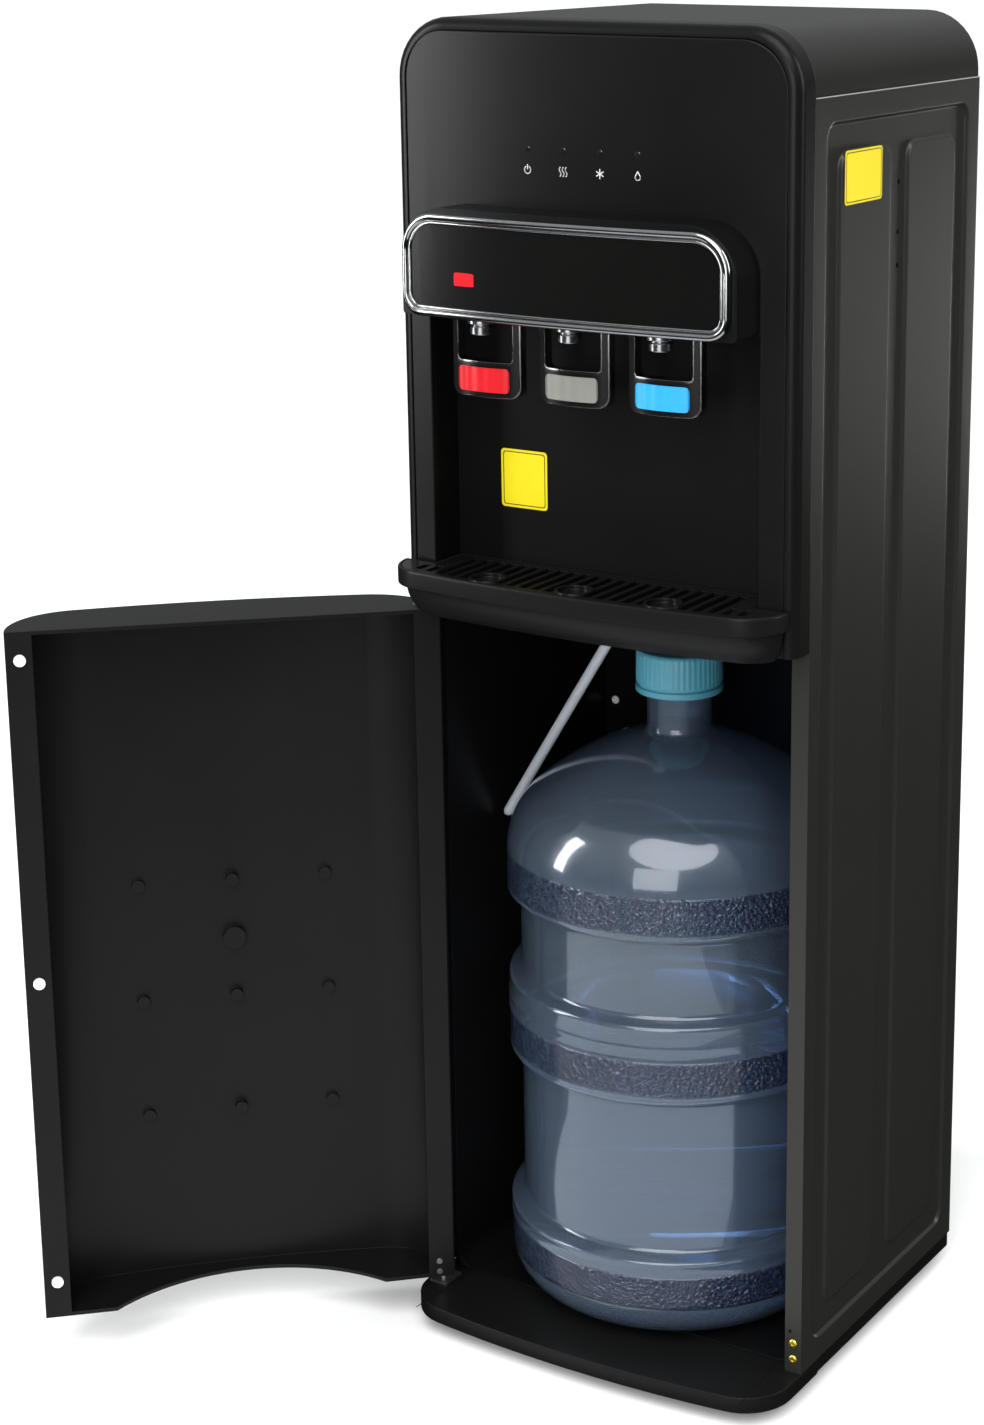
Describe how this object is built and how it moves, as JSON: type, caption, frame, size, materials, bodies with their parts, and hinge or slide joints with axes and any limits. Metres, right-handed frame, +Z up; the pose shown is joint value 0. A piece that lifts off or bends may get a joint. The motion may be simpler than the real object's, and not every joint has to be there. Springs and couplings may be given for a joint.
{
  "type": "bottom load water cooler",
  "caption": "Free-standing water cooler with an open lower compartment for a large bottle, a cup niche with push-paddle taps, a lift-out drip tray and a bowed swing door.",
  "frame": {"origin": "on the floor, under the middle of the whole object's box with the door open; the bottle's upright axis, which is the middle of the cabinet's width, stands at x 0.1138, y 0.0777", "axes": "+X to the right seen from the front, +Y to the back, +Z up; the front faces -Y"},
  "size_m": [0.5626, 0.5263, 1.04],
  "materials": {
    "steel_painted": "satin",
    "cover_grey": "gloss",
    "fascia_black": "gloss",
    "plastic_black": "matte",
    "liner_black": "satin",
    "chrome": "polished",
    "red": "gloss",
    "grey": "gloss",
    "blue": "gloss",
    "lens": "gloss",
    "bumper_white": "matte",
    "screw_brass": "satin",
    "screw_steel": "satin",
    "galvanised": "satin",
    "bottle_clear": "clear",
    "water": "clear",
    "cap_teal": "satin",
    "tube_clear": "clear",
    "tank_steel": "satin",
    "tank_foam": "matte",
    "silicone": "matte",
    "rubber_black": "matte",
    "aluminium": "satin",
    "board_green": "satin"
  },
  "bodies": {
    "cabinet": {"base_plate": "plastic_black", "feet": "rubber_black", "side_panel_left": "steel_painted", "side_panel_right": "steel_painted", "rear_panel": "steel_painted", "top_cover": "cover_grey", "front_frame": "fascia_black", "fascia": "fascia_black", "niche_liner": "liner_black", "shelf_apron": "plastic_black", "tap_hood": "plastic_black", "hood_plate": "fascia_black", "chrome_bezel": "chrome", "indicator_lenses": "lens", "indicator_board": "board_green", "hinge_lower": "galvanised", "hinge_upper": "galvanised", "compartment_liner": "liner_black", "deck": "galvanised", "dip_tube": "tube_clear", "tube_grommet": "silicone", "tank_shelf": "galvanised", "hot_tank": "tank_steel", "cold_tank": "tank_foam", "pump": "plastic_black", "hot_hose": "silicone", "cold_hose": "silicone", "room_hose": "silicone", "suction_hose": "silicone", "cooling_module": "aluminium", "fan_housing": "plastic_black", "drain_spout": "plastic_black", "cord_gland": "plastic_black", "switch_frame": "plastic_black", "cabinet_screws": "screw_brass", "tap_hot": "plastic_black", "nozzle_hot": "chrome", "tap_room": "plastic_black", "nozzle_room": "chrome", "tap_cold": "plastic_black", "nozzle_cold": "chrome"},
    "door": {"door_shell": "plastic_black", "door_bumpers": "bumper_white", "door_screws": "screw_steel"},
    "drip_tray_body": {"drip_tray": "plastic_black"},
    "grille_body": {"grille": "plastic_black"},
    "lock_button_body": {"lock_button": "red"},
    "paddle_hot_body": {"paddle_hot": "plastic_black", "insert_hot": "red"},
    "paddle_room_body": {"paddle_room": "plastic_black", "insert_room": "grey"},
    "paddle_cold_body": {"paddle_cold": "plastic_black", "insert_cold": "blue"},
    "bottle_body": {"bottle": "bottle_clear", "bottle_cap": "cap_teal", "bottle_water": "water"},
    "fan_rotor_body": {"fan_rotor": "plastic_black"},
    "drain_cap_body": {"drain_cap": "plastic_black"},
    "rocker_hot_body": {"rocker_hot": "red"},
    "rocker_cold_body": {"rocker_cold": "grey"}
  },
  "joints": [
    {"name": "door_hinge", "type": "hinge", "parent": "cabinet", "child": "door", "pos_m": [-0.0412, -0.0393, 0.316], "axis": [0, 0, -1], "range_deg": [-137.2, 0]},
    {"name": "bottle_slide", "type": "slide", "parent": "cabinet", "child": "bottle_body", "axis": [0, -1, 0], "range_m": [0, 0.33]},
    {"name": "tray_lift", "type": "slide", "parent": "cabinet", "child": "drip_tray_body", "axis": [0, 0, 1], "range_m": [0, 0.08]},
    {"name": "grille_lift", "type": "slide", "parent": "drip_tray_body", "child": "grille_body", "axis": [0, 0, 1], "range_m": [0, 0.025]},
    {"name": "lock_button_press", "type": "slide", "parent": "cabinet", "child": "lock_button_body", "axis": [0, 1, 0], "range_m": [0, 0.0025], "stiffness_N_per_m": 200, "springref_m": -0.0015},
    {"name": "drain_cap_turn", "type": "hinge", "parent": "cabinet", "child": "drain_cap_body", "pos_m": [0.0388, 0.2557, 0.642], "axis": [0, 1, 0], "range_deg": [0, 540]},
    {"name": "fan_spin", "type": "hinge", "parent": "cabinet", "child": "fan_rotor_body", "pos_m": [0.1888, 0.2327, 0.769], "axis": [0, 1, 0], "continuous": true},
    {"name": "paddle_hot_push", "type": "hinge", "parent": "cabinet", "child": "paddle_hot_body", "pos_m": [0.0388, -0.0678, 0.85], "axis": [1, 0, 0], "range_deg": [0, 12], "stiffness_Nm_per_rad": 0.15, "springref_deg": -5.73},
    {"name": "paddle_room_push", "type": "hinge", "parent": "cabinet", "child": "paddle_room_body", "pos_m": [0.1138, -0.0678, 0.85], "axis": [1, 0, 0], "range_deg": [0, 12], "stiffness_Nm_per_rad": 0.15, "springref_deg": -5.73},
    {"name": "paddle_cold_push", "type": "hinge", "parent": "cabinet", "child": "paddle_cold_body", "pos_m": [0.1888, -0.0678, 0.85], "axis": [1, 0, 0], "range_deg": [0, 12], "stiffness_Nm_per_rad": 0.15, "springref_deg": -5.73},
    {"name": "rocker_hot_tilt", "type": "hinge", "parent": "cabinet", "child": "rocker_hot_body", "pos_m": [0.1008, 0.2459, 0.9], "axis": [1, 0, 0], "range_deg": [0, 12]},
    {"name": "rocker_cold_tilt", "type": "hinge", "parent": "cabinet", "child": "rocker_cold_body", "pos_m": [0.1268, 0.2459, 0.9], "axis": [1, 0, 0], "range_deg": [0, 12]}
  ]
}
